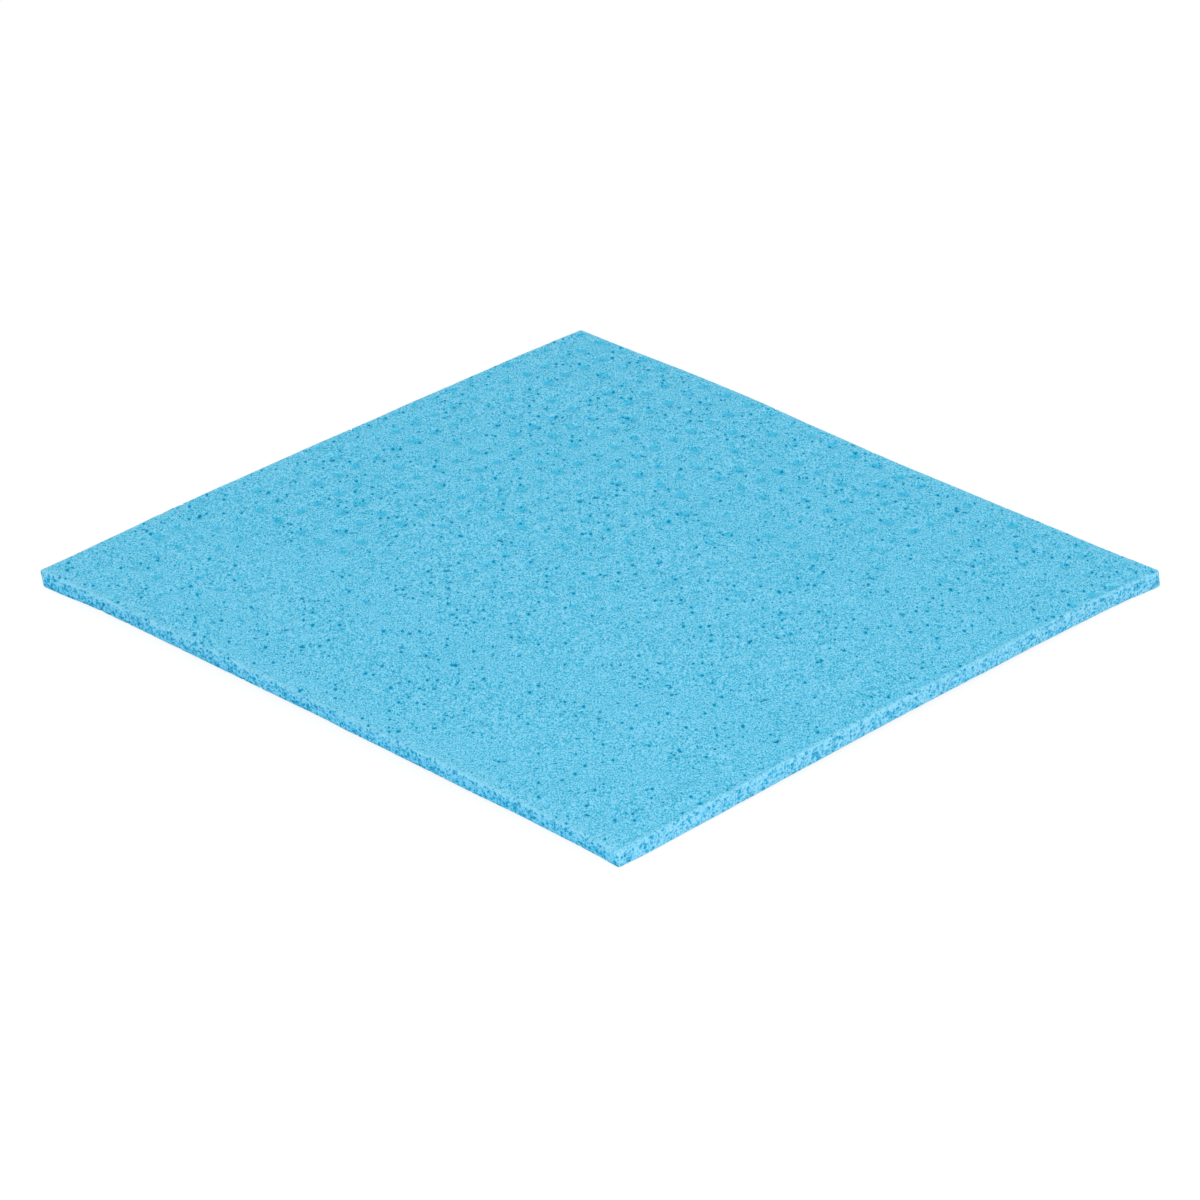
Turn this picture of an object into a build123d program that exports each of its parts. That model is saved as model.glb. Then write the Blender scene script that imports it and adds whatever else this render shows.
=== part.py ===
from build123d import *
import os

os.makedirs("parts", exist_ok=True)

# sheet sizes, mm: each face of the cloth is length x width
cloth_length = 200.0
cloth_width = 190.0
cloth_thickness = 4.2

# the knife that cuts the sheet doesn't stand quite upright, so the lower face
# sits a little to one side of the upper one
lean_along_length = 0.5
lean_along_width = 0.5

corner_radius = 0.8   # upright corners, rounded off by the cut
arris_radius = 0.45   # soft rim where the faces meet the cut sides

with BuildPart() as sponge_cloth:
    with BuildSketch(Plane.XY):
        with Locations((lean_along_length / 2, lean_along_width / 2)):
            RectangleRounded(cloth_length, cloth_width, corner_radius)
    with BuildSketch(Plane.XY.offset(cloth_thickness)):
        with Locations((-lean_along_length / 2, -lean_along_width / 2)):
            RectangleRounded(cloth_length, cloth_width, corner_radius)
    loft(ruled=True)
    underside = sponge_cloth.faces().sort_by(Axis.Z)[0]
    top_face = sponge_cloth.faces().sort_by(Axis.Z)[-1]
    fillet(underside.edges() + top_face.edges(), arris_radius)

sponge_cloth.part.label = "sponge_cloth"
export_step(sponge_cloth.part, "parts/sponge_cloth.step")
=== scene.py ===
import math
import random

import bpy
import numpy as np
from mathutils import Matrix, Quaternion, Vector, kdtree, noise


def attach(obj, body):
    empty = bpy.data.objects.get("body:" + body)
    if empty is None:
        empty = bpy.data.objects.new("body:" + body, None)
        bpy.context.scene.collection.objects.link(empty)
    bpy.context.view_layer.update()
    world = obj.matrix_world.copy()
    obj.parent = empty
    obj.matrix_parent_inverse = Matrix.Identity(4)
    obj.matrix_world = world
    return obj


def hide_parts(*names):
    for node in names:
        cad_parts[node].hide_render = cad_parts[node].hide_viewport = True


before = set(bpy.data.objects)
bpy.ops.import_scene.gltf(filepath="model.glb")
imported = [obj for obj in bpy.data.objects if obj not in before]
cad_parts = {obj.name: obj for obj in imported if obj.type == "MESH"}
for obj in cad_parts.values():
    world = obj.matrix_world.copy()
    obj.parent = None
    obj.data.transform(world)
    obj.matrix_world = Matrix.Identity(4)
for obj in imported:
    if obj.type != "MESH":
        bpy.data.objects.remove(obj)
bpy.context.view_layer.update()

bpy.ops.object.select_all(action="DESELECT")
scene = bpy.context.scene
scene.view_settings.view_transform = "Standard"
mm = 0.001

cameraPlace = {
    "azimuth": 44.76,        # degrees round from the long front edge
    "elevation": 28.16,
    "roll": -0.52,
    "distance": 1.5601,
    "lookAt": (0.0054, -0.0054, 0.0),
    "lens": 189.6,
}


def addCamera(place):
    turn = math.radians(place["azimuth"])
    rise = math.radians(place["elevation"])
    away = Vector((math.sin(turn) * math.cos(rise), -math.cos(turn) * math.cos(rise), math.sin(rise)))
    bpy.ops.object.camera_add(location=Vector(place["lookAt"]) + away * place["distance"])
    camera = bpy.context.object
    camera.name = "tableCamera"
    camera.rotation_mode = "QUATERNION"
    upright = (-away).to_track_quat("-Z", "Y")
    camera.rotation_quaternion = upright @ Quaternion((0, 0, 1), math.radians(place["roll"]))
    camera.data.lens = place["lens"]
    camera.data.clip_start = 0.05
    camera.data.clip_end = 50.0
    scene.camera = camera


addCamera(cameraPlace)
print("camera set")

cloth = {
    "length": 200 * mm,
    "width": 190 * mm,
    "thickness": 4.2 * mm,
    "lean": 0.5 * mm,            # how far the lower face sits aside of the upper one, both ways
    "rimRadius": 0.45 * mm,
    "faceCell": 0.8 * mm,        # the lower face's mesh step; the rest gets half of it
    "sideRows": 5,
    "clearOfTable": 0.01 * mm,
    "triangles": 193000,
}
hair = 0.001 * mm                # shorter than any real length here

crown = {                        # how the sheet lies: its corners touch the table, its edges lift a little
    "alongLength": 0.54 * mm,
    "alongWidth": 1.20 * mm,
    "middleSag": 0.60 * mm,
}

# small rises and dips: where (-1 to 1 along length and width), reach, height
swells = (
    (-0.45, 1.00, 0.27, 0.60 * mm),
    (0.15, 1.00, 0.36, -0.52 * mm),
    (1.00, 1.00, 0.22, 0.25 * mm),
    (-1.00, -0.58, 0.30, 0.26 * mm),
    (-1.00, 0.28, 0.34, -0.20 * mm),
    (0.62, -1.00, 0.25, 0.14 * mm),
    (1.00, -0.62, 0.30, -0.18 * mm),
    (1.00, 0.62, 0.26, 0.24 * mm),
    (0.10, -0.15, 0.45, 0.20 * mm),
)

# how each corner was cut: which one, its rounding, how far its upper and lower ends stray and
# over what reach (all in mm)
corners = (
    {"at": (-1, -1), "radius": 0.3, "reach": 14, "top": (-0.45, -0.35), "foot": (0.65, -1.25)},
    {"at": (1, -1), "radius": 0.6, "reach": 6, "top": (-0.35, -0.30), "foot": (-0.40, -0.40)},
    {"at": (1, 1), "radius": 1.7, "reach": 11, "top": (1.25, 0.65), "foot": (1.00, 0.50)},
    {"at": (-1, 1), "radius": 0.8, "reach": 8, "top": (0, 0), "foot": (0, 0)},
)

dimples = {                      # the embossed grid
    "pitchX": 7.84 * mm,
    "pitchY": 6.82 * mm,
    "startX": -4.7 * mm,
    "startY": 1.4 * mm,
    "skewX": -0.0075,            # the grid isn't quite square to the cut edges
    "skewY": 0.028,
    "depth": 0.40 * mm,
    "radius": 1.60 * mm,
    "wander": 0.35 * mm,
    "strength": (0.55, 1.25),    # from the faintest to the deepest
    "stretch": (0.8, 1.3),
    "steepness": 2.4,            # 2 is a soft bowl, more makes its wall steeper
    "fade": 2.2 * mm,            # none so near the rims, where the knife has pressed the foam
    "middle": 0.92,              # the upper ones' depth at the sheet's middle, and its growth to the back
    "towardsBack": 1 / 0.9,
    "leastAndMost": (0.50, 1.25),
    "seeds": (5, 6),
    "undersideShift": (3.1 * mm, 2.2 * mm, 0),
}

# unevenness of the skin: the size of its waves, their height, how far they follow z, a seed
ripples = (
    {"size": 2.6 * mm, "height": 0.04 * mm, "alongZ": 0.3, "seed": 3},
    {"size": 0.9 * mm, "height": 0.035 * mm, "alongZ": 1, "seed": 4},
    {"size": 14 * mm, "height": 0.10 * mm, "alongZ": 0, "seed": 8},
)

pressedLine = {                  # a faint line just inside the short near edge
    "fromEdge": 2.3 * mm,
    "halfWidth": 0.7 * mm,
    "depth": 0.16 * mm,
}

sideWave = {                     # how the knife wavered along the cut sides
    "size": 22 * mm,
    "height": 0.22 * mm,
    "seeds": (12, 14),
}

rimHighlight = {                      # painted highlight: a paler colour along the rims and down the corners
    "rimWidth": 0.50 * mm,
    "cornerWidth": 0.60 * mm,
    "cornerShare": 1.3,
    "marginWidth": 5 * mm,       # a paler margin along the long near edge
    "marginShare": 0.16,
}


def points(mesh):
    flat = np.empty(len(mesh.vertices) * 3)
    mesh.vertices.foreach_get("co", flat)
    return flat.reshape(-1, 3)


def setPoints(mesh, place):
    mesh.vertices.foreach_set("co", place.ravel())
    mesh.update()


def halfSize(spec):
    return np.array([spec["length"] / 2, spec["width"] / 2])


def edgeEnds(mesh):
    ends = np.empty(len(mesh.edges) * 2, int)
    mesh.edges.foreach_get("vertices", ends)
    return ends.reshape(-1, 2)


def selectOnly(obj, kind, chosen):
    # kind is EDGE or FACE; chosen is one True or False for each of them
    bpy.ops.object.mode_set(mode="EDIT")
    bpy.ops.mesh.select_mode(type=kind)
    bpy.ops.mesh.select_all(action="DESELECT")
    bpy.ops.object.mode_set(mode="OBJECT")
    items = obj.data.edges if kind == "EDGE" else obj.data.polygons
    items.foreach_set("select", chosen)
    bpy.ops.object.mode_set(mode="EDIT")


def blankSheet(spec):
    cellsX = round(spec["length"] / spec["faceCell"])
    cellsY = round(spec["width"] / spec["faceCell"])
    bpy.ops.mesh.primitive_grid_add(x_subdivisions=cellsX, y_subdivisions=cellsY, size=1)
    obj = bpy.context.object
    mesh = obj.data
    bpy.ops.object.mode_set(mode="EDIT")
    bpy.ops.mesh.select_all(action="SELECT")
    bpy.ops.transform.resize(value=(spec["length"], spec["width"], 1))
    bpy.ops.mesh.extrude_region_move(TRANSFORM_OT_translate={"value": (0, 0, spec["thickness"])})
    bpy.ops.mesh.select_all(action="SELECT")
    bpy.ops.mesh.normals_make_consistent(inside=False)
    bpy.ops.object.mode_set(mode="OBJECT")

    # soft rims, top and bottom
    place = points(mesh)
    ends = edgeEnds(mesh)
    half = halfSize(spec)
    onSide = (abs(abs(place[:, :2]) - half) < hair).any(axis=1)
    rise = abs(place[ends[:, 0], 2] - place[ends[:, 1], 2])
    selectOnly(obj, "EDGE", onSide[ends[:, 0]] & onSide[ends[:, 1]] & (rise < hair))
    bpy.ops.mesh.bevel(offset=spec["rimRadius"], segments=2, profile=0.5, affect="EDGES")
    bpy.ops.object.mode_set(mode="OBJECT")

    # rows up the cut sides
    place = points(mesh)
    ends = edgeEnds(mesh)
    rise = abs(place[ends[:, 0], 2] - place[ends[:, 1], 2])
    selectOnly(obj, "EDGE", rise > spec["thickness"] / 2)
    bpy.ops.mesh.subdivide(number_cuts=spec["sideRows"] - 1)
    bpy.ops.object.mode_set(mode="OBJECT")

    # everything but the lower face gets half the step
    normals = np.empty(len(mesh.polygons) * 3)
    mesh.polygons.foreach_get("normal", normals)
    selectOnly(obj, "FACE", normals.reshape(-1, 3)[:, 2] > -0.9)
    bpy.ops.mesh.subdivide(number_cuts=1)
    bpy.ops.mesh.select_all(action="DESELECT")
    bpy.ops.object.mode_set(mode="OBJECT")
    return obj


def roundCorners(place, spec):
    # each square corner is drawn in to a quarter circle
    half = halfSize(spec)
    for corner in corners:
        away = np.array(corner["at"])
        centre = half - corner["radius"] * mm
        off = place[:, :2] * away - centre
        atCorner = (off[:, 0] > 0) & (off[:, 1] > 0)
        inner = off[atCorner]
        shrink = inner.max(axis=1) / np.maximum(np.hypot(inner[:, 0], inner[:, 1]), 1e-12)
        place[atCorner, :2] = away * (centre + inner * shrink[:, None])


def cornerShift(place, down, spec):
    # how far each point moves sideways because the cut strays near the corners
    half = halfSize(spec)
    shift = np.zeros((len(place), 2))
    for corner in corners:
        far = ((place[:, :2] - half * np.array(corner["at"])) ** 2).sum(axis=1)
        near = np.exp(-far / (corner["reach"] * mm) ** 2)[:, None]
        level = down[:, None]
        shift += near * ((1 - level) * np.array(corner["top"]) + level * np.array(corner["foot"])) * mm
    return shift


def smoothNoise(place, size, seed):
    # one smooth random number from -1 to 1 for each point, changing over this size
    shift = Vector((seed * 3.17, seed * 1.71, seed * 7.93))
    return np.array([noise.noise(Vector(p) / size + shift) for p in place])


def dimpleDepth(place, seed):
    # how deep the embossed grid is at each point of a face, 0 to 1
    x = place[:, 0] + dimples["skewX"] * place[:, 1] - dimples["startX"]
    y = place[:, 1] + dimples["skewY"] * place[:, 0] - dimples["startY"]
    column = np.round(x / dimples["pitchX"])
    row = np.round(y / dimples["pitchY"])
    draw = np.random.RandomState(seed)
    count = 80                   # rows and columns drawn, more than the sheet has
    wanderX = draw.uniform(-1, 1, (count, count)) * dimples["wander"]
    wanderY = draw.uniform(-1, 1, (count, count)) * dimples["wander"]
    strength = draw.uniform(*dimples["strength"], (count, count))
    stretch = draw.uniform(*dimples["stretch"], (count, count))
    i = column.astype(int) + count // 2
    j = row.astype(int) + count // 2
    dx = x - column * dimples["pitchX"] - wanderX[i, j]
    dy = y - row * dimples["pitchY"] - wanderY[i, j]
    far = np.sqrt((dx / stretch[i, j]) ** 2 + dy ** 2) / dimples["radius"]
    return strength[i, j] * np.exp(-far ** dimples["steepness"])


def crownLift(place, spec):
    # how far each point is lifted by the way the sheet lies
    u, v = np.clip(place[:, :2] / halfSize(spec), -1, 1).T
    lift = crown["alongLength"] * (1 - u * u) + crown["alongWidth"] * (1 - v * v)
    lift -= crown["middleSag"] * (1 - u * u) * (1 - v * v)
    for atU, atV, reach, height in swells:
        lift += height * np.exp(-((u - atU) ** 2 + (v - atV) ** 2) / reach ** 2)
    return np.maximum(lift, 0)


topPores = {
    "perSquareCm": 2.6,
    "radius": 0.32 * mm,      # the middle size
    "spread": 0.36,
    "largest": 0.80 * mm,
    "clusters": 0.20,         # share of them that sit beside another
    "clusterReach": 1.1 * mm,
    "sunk": 0.25,             # how far under the skin their centres lie, as a share of the radius
    "seed": 11,
}

undersidePores = {
    "perSquareCm": 1.8,
    "radius": 0.42 * mm,
    "spread": 0.28,
    "largest": 0.80 * mm,
    "clusters": 0.35,
    "clusterReach": 1.4 * mm,
    "sunk": 0.30,
    "seed": 23,
}

cutPores = {
    "perSquareCm": 60,
    "radius": 0.24 * mm,
    "spread": 0.32,
    "largest": 0.50 * mm,
    "clusters": 0.35,
    "clusterReach": 0.8 * mm,
    "sunk": 0.25,
    "seed": 37,
    "between": (0.02, 0.93),  # from how low to how high on the side, in thicknesses
}
deepestPore = 0.75 * mm


def scatter(spec, area, place):
    # place(draw) gives one random spot and the way out of the surface there
    draw = random.Random(spec["seed"])
    count = round(spec["perSquareCm"] * area * 1e4)
    pores = []
    while len(pores) < count:
        spot, out = place(draw)
        radius = min(spec["radius"] * math.exp(draw.gauss(0, spec["spread"])), spec["largest"])
        pores.append((spot - out * radius * spec["sunk"], radius))
        while draw.random() < spec["clusters"] and len(pores) < count:
            reach = spec["clusterReach"]
            shift = Vector([draw.uniform(-reach, reach) for _ in range(3)])
            shift -= out * shift.dot(out)
            radius = min(spec["radius"] * math.exp(draw.gauss(-0.1, spec["spread"])), spec["largest"])
            pores.append((spot + shift - out * radius * spec["sunk"], radius))
    return pores


def onFace(spec, z, out):
    def place(draw):
        x = draw.uniform(-0.5, 0.5) * spec["length"]
        y = draw.uniform(-0.5, 0.5) * spec["width"]
        return Vector((x, y, z)), out
    return place


def onCutSide(spec):
    def place(draw):
        z = draw.uniform(*cutPores["between"]) * spec["thickness"]
        onLong = draw.random() < spec["length"] / (spec["length"] + spec["width"])
        side = draw.choice((-1, 1))
        if onLong:
            x = draw.uniform(-0.5, 0.5) * spec["length"]
            return Vector((x, side * spec["width"] / 2, z)), Vector((0, side, 0))
        y = draw.uniform(-0.5, 0.5) * spec["width"]
        return Vector((side * spec["length"] / 2, y, z)), Vector((side, 0, 0))
    return place


def carvePores(place, outward, pores, deepest):
    # each point inside a pore's ball moves in along its own normal to the ball's far side
    tree = kdtree.KDTree(len(place))
    for i, p in enumerate(place):
        tree.insert(p, i)
    tree.balance()
    depth = np.zeros(len(place))
    inside = np.zeros(len(place))
    for centre, radius in pores:
        for spot, i, far in tree.find_range(centre, radius):
            out = Vector(outward[i])
            along = (spot - centre).dot(out)
            reach = along + math.sqrt(max(along * along - far * far + radius * radius, 0))
            depth[i] = max(depth[i], min(reach, deepest))
            inside[i] = max(inside[i], min(1, 1.4 * (1 - (far / radius) ** 2)))
    return depth, inside


def storeMask(mesh, name, values):
    layer = mesh.attributes.new(name, "FLOAT", "POINT")
    layer.data.foreach_set("value", values.astype(np.float32))


def scatterPores(spec):
    up = Vector((0, 0, 1))
    faceArea = spec["length"] * spec["width"]
    wallArea = 2 * (spec["length"] + spec["width"]) * spec["thickness"]
    pores = scatter(topPores, faceArea, onFace(spec, spec["thickness"], up))
    pores += scatter(undersidePores, faceArea, onFace(spec, 0, -up))
    pores += scatter(cutPores, wallArea, onCutSide(spec))
    return pores


def embossing(place, fromEdge, top, bottom, spec):
    # how deep each point is pressed by the grid of dimples, 0 to 1
    fade = np.clip(fromEdge / dimples["fade"], 0, 1)
    back = (place[:, 1] - place[:, 0]) / spec["length"] * dimples["towardsBack"]
    deeper = np.clip(dimples["middle"] + back, *dimples["leastAndMost"])
    upperSeed, lowerSeed = dimples["seeds"]
    upper = dimpleDepth(place, upperSeed) * top * fade * deeper
    lower = dimpleDepth(place + np.array(dimples["undersideShift"]), lowerSeed) * bottom * fade
    return upper + lower


def rippleHeight(place):
    height = np.zeros(len(place))
    for ripple in ripples:
        spread = place * np.array([1, 1, ripple["alongZ"]])
        height += smoothNoise(spread, ripple["size"], ripple["seed"]) * ripple["height"]
    return height


def sideWaves(place):
    # how far the cut sides stray along x and y, the same all the way up
    waves = np.empty((len(place), 2))
    for axis, seed in enumerate(sideWave["seeds"]):
        along = np.zeros_like(place)
        along[:, 0] = place[:, 1 - axis]
        waves[:, axis] = smoothNoise(along, sideWave["size"], seed) * sideWave["height"]
    return waves


def paintedHighlight(place, fromEdge, top, spec):
    # how strongly the highlight is painted, 0 to 1: along the upper rims, the upright corner edges and the
    # long near edge
    half = halfSize(spec)
    fromRim = abs(place[:, 2] - spec["thickness"]) + np.maximum(fromEdge, 0)
    fromUpright = np.hypot(*(half - abs(place[:, :2])).T)
    pale = np.exp(-(fromRim / rimHighlight["rimWidth"]) ** 2)
    pale += rimHighlight["cornerShare"] * np.exp(-(fromUpright / rimHighlight["cornerWidth"]) ** 2)
    fromFront = half[1] + place[:, 1]
    pale += rimHighlight["marginShare"] * np.exp(-(fromFront / rimHighlight["marginWidth"]) ** 2) * top
    return np.minimum(pale, 1)


def makeCloth(spec):
    obj = blankSheet(spec)
    obj.name = "foam_cloth"
    mesh = obj.data
    mesh.name = "foam_cloth"
    place = points(mesh)
    roundCorners(place, spec)
    setPoints(mesh, place)
    print("blank sheet:", len(place), "points")

    outward = np.empty(len(place) * 3)
    mesh.vertices.foreach_get("normal", outward)
    outward = outward.reshape(-1, 3)
    half = halfSize(spec)
    fromEdge = (half - abs(place[:, :2])).min(axis=1)         # distance in from the nearest cut side
    top = np.clip(outward[:, 2], 0, 1) ** 2
    bottom = np.clip(-outward[:, 2], 0, 1) ** 2
    wall = 1 - np.clip(abs(outward[:, 2]) * 1.15, 0, 1) ** 2  # none left where the rims are nearly flat
    down = 1 - place[:, 2] / spec["thickness"]

    pores = scatterPores(spec)
    depth, inside = carvePores(place, outward, pores, deepestPore)
    print("pores:", len(pores))

    dent = embossing(place, fromEdge, top, bottom, spec)
    fromLine = half[0] - place[:, 0] - pressedLine["fromEdge"]
    line = np.exp(-(fromLine / pressedLine["halfWidth"]) ** 2) * top
    sink = depth + dent * dimples["depth"] - rippleHeight(place) + line * pressedLine["depth"]
    moved = place - outward * sink[:, None]

    # the cut sides are a little wavy, lean, and the whole sheet is gently crowned
    moved[:, :2] += sideWaves(place) * wall[:, None]
    moved[:, :2] += cornerShift(place, down, spec) + spec["lean"] * (down - 0.5)[:, None]
    moved[:, 2] += crownLift(place, spec)
    moved[:, 2] = np.maximum(moved[:, 2], spec["clearOfTable"])
    setPoints(mesh, moved)

    storeMask(mesh, "pore", inside)
    storeMask(mesh, "dent", dent)
    storeMask(mesh, "cutSide", wall)
    storeMask(mesh, "longSide", wall * (abs(outward[:, 1]) > abs(outward[:, 0])))
    # painted highlight along the upper rims, down the upright corners and along the long near edge
    storeMask(mesh, "rim", paintedHighlight(place, fromEdge, top, spec))
    storeMask(mesh, "down", down)
    storeMask(mesh, "groove", line)

    thinOut = obj.modifiers.new("thinOut", "DECIMATE")
    faces = sum(len(p.vertices) - 2 for p in mesh.polygons)
    thinOut.ratio = min(1, spec["triangles"] / faces)
    bpy.ops.object.modifier_apply(modifier="thinOut")
    bpy.ops.object.shade_smooth()
    print("cloth:", faces, "triangles thinned to", len(obj.data.polygons))
    return obj


class Socket:
    # wraps a node's output so that + - * and / on it add Math nodes
    def __init__(self, paint, output):
        self.paint = paint
        self.output = output

    def other(self, name):
        # another output of the same node
        return Socket(self.paint, self.output.node.outputs[name])

    def math(self, operation, first, second):
        return self.paint.node("ShaderNodeMath", {"operation": operation}, {0: first, 1: second})

    def __add__(self, other):
        return self.math("ADD", self, other)

    def __radd__(self, other):
        return self.math("ADD", other, self)

    def __sub__(self, other):
        return self.math("SUBTRACT", self, other)

    def __rsub__(self, other):
        return self.math("SUBTRACT", other, self)

    def __mul__(self, other):
        return self.math("MULTIPLY", self, other)

    def __rmul__(self, other):
        return self.math("MULTIPLY", other, self)

    def __truediv__(self, other):
        return self.math("DIVIDE", self, other)

    def __rtruediv__(self, other):
        return self.math("DIVIDE", other, self)


class Paint:
    # the node tree of one material, or of the sky
    def __init__(self, owner):
        self.owner = owner
        owner.use_nodes = True
        self.tree = owner.node_tree
        self.tree.nodes.clear()

    def node(self, kind, settings=None, sockets=None, out=0):
        made = self.tree.nodes.new(kind)
        for name, value in (settings or {}).items():
            if name == "stops":
                ramp = made.color_ramp
                while len(ramp.elements) < len(value):
                    ramp.elements.new(0.5)
                for element, (at, colour) in zip(ramp.elements, value):
                    element.position = at
                    element.color = colour
            else:
                setattr(made, name, value)
        for name, value in (sockets or {}).items():
            if isinstance(value, Socket):
                self.tree.links.new(value.output, made.inputs[name])
            else:
                made.inputs[name].default_value = value
        return None if out is None else Socket(self, made.outputs[out])

    def mix(self, share, first, second):
        return self.node("ShaderNodeMix", {"data_type": "RGBA"}, {0: share, 6: first, 7: second}, out=2)

    def ease(self, value, low, high):
        # 0 below low, 1 above high, smooth between
        return self.node("ShaderNodeMapRange", {"interpolation_type": "SMOOTHSTEP"},
                         {"Value": value, "From Min": low, "From Max": high})

    def finish(self, shader, kind="ShaderNodeOutputMaterial"):
        self.node(kind, {}, {"Surface": shader}, out=None)
        return self.owner

    def mask(self, name):
        return self.node("ShaderNodeAttribute", {"attribute_name": name}, out="Fac")


foam = {
    "light": (0.260, 0.680, 0.910, 1),
    "body": (0.142, 0.580, 0.818, 1),
    "shade": (0.012, 0.400, 0.620, 1),
    "halo": (0.012, 0.490, 0.760, 1),      # painted shade: the deeper blue round a pore, in the embossing, the pressed line and the creases
    # painted shade inside the pores, on the faces and on the cut sides
    "pore": (0.000, 0.240, 0.465, 1),
    "cutPore": (0.000, 0.255, 0.590, 1),
    # partly painted light: the cut sides are paler than the top for the lesser light they get, the short
    # side coloured as lit and the long one as in shade
    "longCut": (0.175, 0.670, 0.985, 1),
    "shortCut": (0.365, 0.705, 0.915, 1),
    # the painted highlight's colour
    "rim": (0.330, 0.720, 0.910, 1),
    "roughness": 0.92,
    "grain": 0.40 * mm,
    "fleck": 1.00 * mm,
    "drift": 9 * mm,
    "crowd": 5 * mm,         # the size over which pores gather and thin out
    "rough": 0.40 * mm,      # the size of the notches in their outlines
    "stray": 0.45,           # and how far they stray, as a share of it
    "drawn": 1.6,            # the foam is drawn out across the sheet by this much
    "crease": (4.5 * mm, 0.75 * mm),
    "bump": 0.22 * mm,       # the depth of the finest open cells
}

# pinholes by kind: cell size, share of cells that have one, smallest and largest radius in cells,
# how strongly their cores and the rings round them are coloured with painted shade
pinholes = {
    "faceLarge": {"cell": 2.20 * mm, "share": 0.26, "radii": (0.07, 0.21), "core": 1.00, "ring": 0.75},
    "faceSmall": {"cell": 0.90 * mm, "share": 0.09, "radii": (0.13, 0.30), "core": 0.70, "ring": 0.45},
    "cutLarge": {"cell": 0.90 * mm, "share": 0.50, "radii": (0.22, 0.42), "core": 0.80, "ring": 0.65},
    "cutSmall": {"cell": 0.50 * mm, "share": 0.55, "radii": (0.28, 0.52), "core": 0.60, "ring": 0.50},
}

# how strongly each tint lies over the foam's own colour, 0 to 1; several are painted light and shade
tints = {
    # partly painted light on the cut sides, the long ones deepened as in shade
    "cut": 0.50,
    "longCut": 0.50,
    "lowerCut": 0.20,        # more of the deeper blue towards the foot of the long cut side
    # painted shade in the dimples
    "dimpleShadeBlue": 0.45,
    "dimpleShade": 0.20,
    # painted shade in the pressed line
    "line": 0.08,
    # painted shade along the creases
    "crease": 0.28,
    # painted highlight
    "rim": 0.58,
}

# how far each cloud of noise moves the foam's colour
swings = {"grain": 4.0, "fleck": 0.6, "drift": 0.15}


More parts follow.
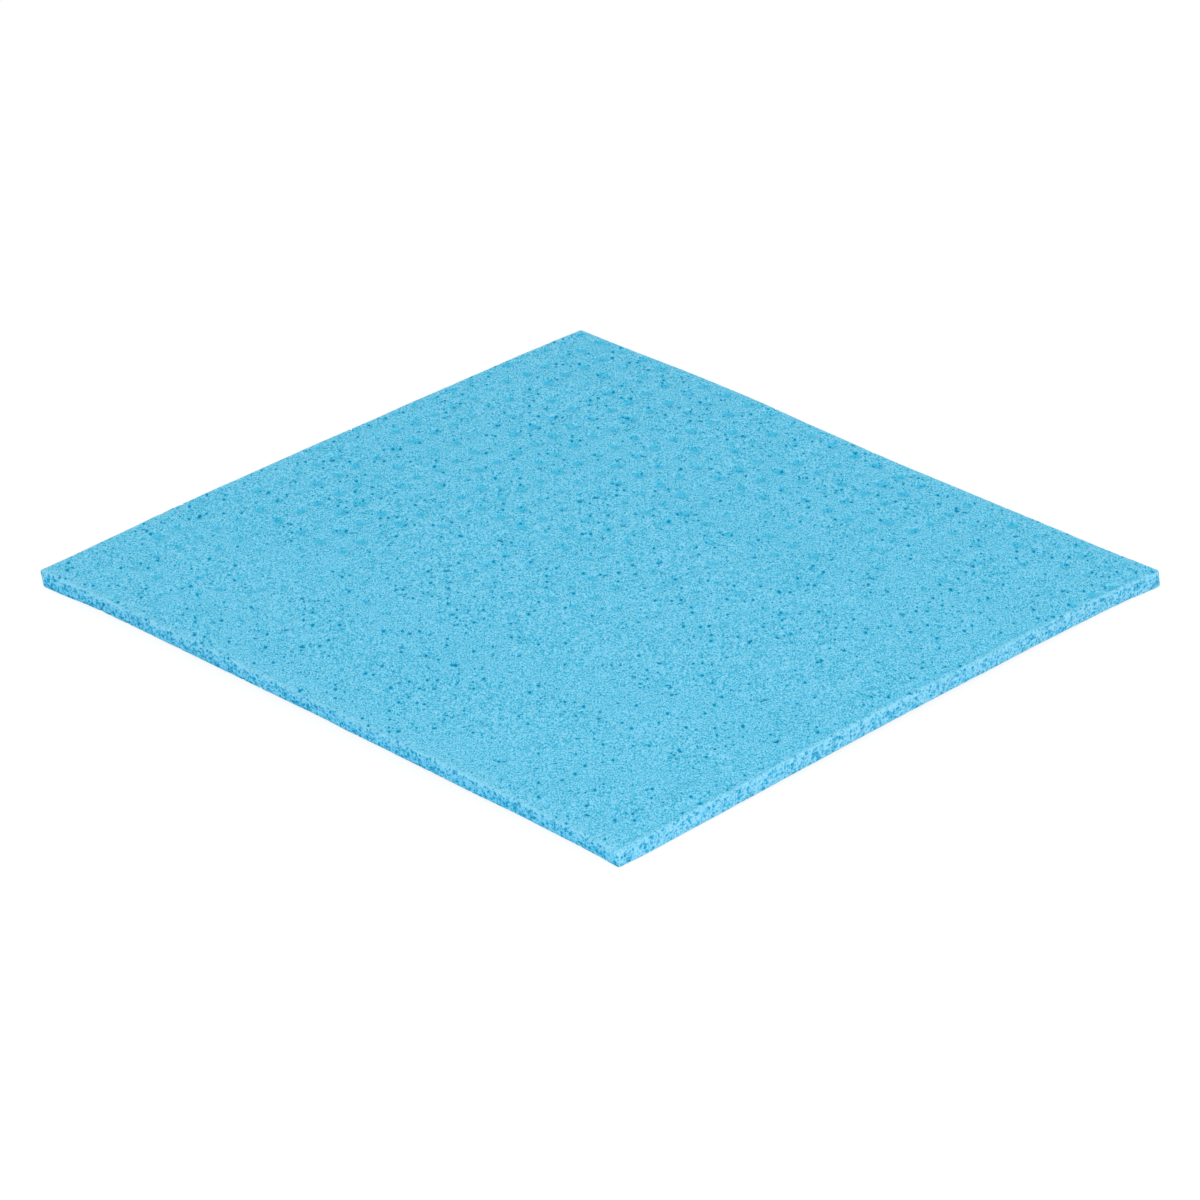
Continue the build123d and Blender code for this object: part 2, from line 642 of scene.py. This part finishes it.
def foamPaint(spec):
    paint = Paint(bpy.data.materials.new("celluloseFoam"))
    where = paint.node("ShaderNodeTexCoord", out="Object")
    cut = paint.mask("cutSide")
    longCut = paint.mask("longSide")
    pore = paint.mask("pore")
    dent = paint.mask("dent")
    rim = paint.mask("rim")
    line = paint.mask("groove")
    down = paint.mask("down")
    face = 1 - cut
    diagonal = (0, 0, math.radians(45))

    def turned(stretch):
        return paint.node("ShaderNodeMapping", {"vector_type": "TEXTURE"}, {
            "Vector": where, "Rotation": diagonal, "Scale": stretch})

    foamWhere = turned((1, spec["drawn"], 1))

    def cloud(size, detail, roughness, out="Fac"):
        return paint.node("ShaderNodeTexNoise", {}, {
            "Vector": foamWhere, "Scale": 1 / size, "Detail": detail, "Roughness": roughness}, out=out)

    shake = cloud(spec["rough"], 1.0, 0.5, "Color")
    stray = (spec["stray"] * spec["rough"],) * 3
    shaken = paint.node("ShaderNodeVectorMath", {"operation": "MULTIPLY_ADD"}, {
        0: shake, 1: stray, 2: foamWhere})

    def spots(kind, plane, share):
        # rough round spots, one in a share of the cells; the second result is the ring round them too
        low, high = kind["radii"]
        away = paint.node("ShaderNodeTexVoronoi", {"voronoi_dimensions": plane}, {
            "Vector": shaken, "Scale": 1 / kind["cell"]}, out="Distance")
        chance = paint.node("ShaderNodeSeparateColor", {}, {0: away.other("Color")}, out="Red")
        radius = low + chance.other("Green") * (high - low)
        chosen = paint.ease(share - chance, 0, 0.02)
        core = paint.ease(radius - away, 0, 0.07)
        ring = paint.ease(radius * 1.7 - away, 0, 0.12)
        return core * chosen, ring * chosen

    grain = cloud(spec["grain"], 2.0, 0.6)
    fleck = cloud(spec["fleck"], 2.0, 0.5)
    drift = cloud(spec["drift"], 1.0, 0.5)
    crowd = paint.ease(cloud(spec["crowd"], 1.0, 0.5), 0.35, 0.65)
    gather = 0.70 + crowd * 0.5
    large, small = pinholes["faceLarge"], pinholes["faceSmall"]
    faceLarge, faceLargeRing = spots(large, "2D", (gather + dent * 0.3) * large["share"])
    faceSmall, faceSmallRing = spots(small, "2D", (gather + dent * 2.6) * small["share"])
    faceCore = (faceSmall * small["core"] + faceLarge * large["core"]) * face
    faceRing = (faceSmallRing * small["ring"] + faceLargeRing * large["ring"]) * face

    # the cut sides are more open towards their foot, and paler on the short side than on the long one,
    # partly as painted light on the lit short side
    large, small = pinholes["cutLarge"], pinholes["cutSmall"]
    deeper = 0.80 + down * 0.5
    cutLarge, cutLargeRing = spots(large, "3D", deeper * large["share"])
    cutSmall, cutSmallRing = spots(small, "3D", deeper * small["share"])
    cutCore = (cutSmall * small["core"] + cutLarge * large["core"]) * (cut * 0.70 + longCut * 0.30)
    cutRing = (cutSmallRing * small["ring"] + cutLargeRing * large["ring"]) * (cut * 0.80 + longCut * 0.20)

    # faint creases run across the sheet's diagonal, drawn only as painted shade
    long, thin = spec["crease"]
    crease = paint.node("ShaderNodeTexNoise", {}, {
        "Vector": turned((long, thin, long)), "Scale": 1.0, "Detail": 1.0})
    crease = paint.ease(crease, 0.56, 0.70) * face

    tone = 0.5 + (grain - 0.5) * swings["grain"] + (fleck - 0.5) * swings["fleck"]
    tone = tone + (drift - 0.5) * swings["drift"]
    colour = paint.node("ShaderNodeValToRGB", {"stops": (
        (0.0, spec["shade"]), (0.5, spec["body"]), (1.0, spec["light"]))}, {0: tone}, out="Color")
    # painted light on the cut sides over the cut foam's own colour: all lightened, the short ones as lit,
    # the long ones deeper as in shade
    colour = paint.mix(cut * tints["cut"], colour, spec["shortCut"])
    colour = paint.mix(longCut * tints["longCut"], colour, spec["longCut"])
    # painted shade in the dimples, the pressed line and the creases
    pressed = paint.ease(dent, 0.30, 1.00)
    deepened = pressed * tints["dimpleShadeBlue"] + line * tints["line"] + crease * tints["crease"]
    deepened = deepened + longCut * down * tints["lowerCut"]
    colour = paint.mix(deepened, colour, spec["halo"])
    colour = paint.mix(pressed * tints["dimpleShade"], colour, spec["shade"])
    # painted highlight along the rims, down the upright corners and along the long near edge
    colour = paint.mix(rim * tints["rim"], colour, spec["rim"])
    # painted shade in and round the pinholes
    colour = paint.mix(faceRing + cutRing, colour, spec["halo"])
    colour = paint.mix(faceCore, colour, spec["pore"])
    colour = paint.mix(cutCore, colour, spec["cutPore"])
    # painted shade on the rims and floors of the carved pores
    poreRim = paint.ease(pore, 0.02, 0.25) * (0.80 - cut * 0.35 + longCut * 0.10)
    poreFloor = paint.ease(pore, 0.10, 0.60) * (0.95 - cut * 0.60 + longCut * 0.15)
    colour = paint.mix(poreRim, colour, spec["halo"])
    colour = paint.mix(poreFloor, colour, spec["pore"])

    height = grain * 0.5 + fleck * 0.6 - (faceSmall + cutSmall) * 0.4 - (faceLarge + cutLarge) * 0.9
    bump = paint.node("ShaderNodeBump", {}, {
        "Strength": 0.7, "Distance": spec["bump"], "Height": height}, out="Normal")
    shader = paint.node("ShaderNodeBsdfPrincipled", {}, {
        "Base Color": colour,
        "Roughness": spec["roughness"],
        "Specular IOR Level": 0.2,
        "Normal": bump,
    }, out="BSDF")
    return paint.finish(shader)


clothObject = makeCloth(cloth)
clothObject.data.materials.clear()
clothObject.data.materials.append(foamPaint(foam))
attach(clothObject, "root")
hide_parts("sponge_cloth")
print("cloth finished")

studio = {
    "tableSize": 8.0,
    "tableColour": (0.93, 0.93, 0.93, 1),
    "glowShare": 0.82,        # how much of what the camera sees of the table is plain white
    "glowStrength": 1.05,
    "skyStrength": 0.80,
    "sideLamp": {"azimuth": 25.0, "elevation": 42.0, "distance": 2.2, "size": 1.4, "power": 9.0},
    "frontLamp": {"azimuth": -50.0, "elevation": 27.0, "distance": 0.95, "size": 0.6, "power": 1.9},
}                             # azimuth in degrees from +X towards +Y
white = (1, 1, 1, 1)


def addTable(spec):
    bpy.ops.mesh.primitive_plane_add(size=spec["tableSize"])
    table = bpy.context.object
    table.name = "tableTop"
    paint = Paint(bpy.data.materials.new("tableWhite"))
    seen = paint.node("ShaderNodeLightPath", out="Is Camera Ray")
    matt = paint.node("ShaderNodeBsdfDiffuse", {}, {"Color": spec["tableColour"]}, out="BSDF")
    glow = paint.node("ShaderNodeEmission", {}, {
        "Color": white, "Strength": spec["glowStrength"]}, out="Emission")
    both = paint.node("ShaderNodeMixShader", {}, {0: seen * spec["glowShare"], 1: matt, 2: glow})
    table.data.materials.append(paint.finish(both))


def addSky(spec):
    sky = bpy.data.worlds.new("studioSky")
    scene.world = sky
    paint = Paint(sky)
    seen = paint.node("ShaderNodeLightPath", out="Is Camera Ray")
    light = paint.node("ShaderNodeBackground", {}, {"Color": white, "Strength": spec["skyStrength"]})
    plain = paint.node("ShaderNodeBackground", {}, {"Color": white, "Strength": 1.0})
    both = paint.node("ShaderNodeMixShader", {}, {0: seen, 1: light, 2: plain})
    paint.finish(both, "ShaderNodeOutputWorld")


def addLamp(name, spec):
    turn = math.radians(spec["azimuth"])
    rise = math.radians(spec["elevation"])
    towards = Vector((math.cos(turn) * math.cos(rise), math.sin(turn) * math.cos(rise), math.sin(rise)))
    bpy.ops.object.light_add(type="AREA", location=towards * spec["distance"])
    lamp = bpy.context.object
    lamp.name = name
    lamp.data.shape = "DISK"
    lamp.data.size = spec["size"]
    lamp.data.energy = spec["power"]
    lamp.rotation_mode = "QUATERNION"
    lamp.rotation_quaternion = (-towards).to_track_quat("-Z", "Y")


addTable(studio)
addSky(studio)
addLamp("sideLamp", studio["sideLamp"])
addLamp("frontLamp", studio["frontLamp"])
print("table and light set")
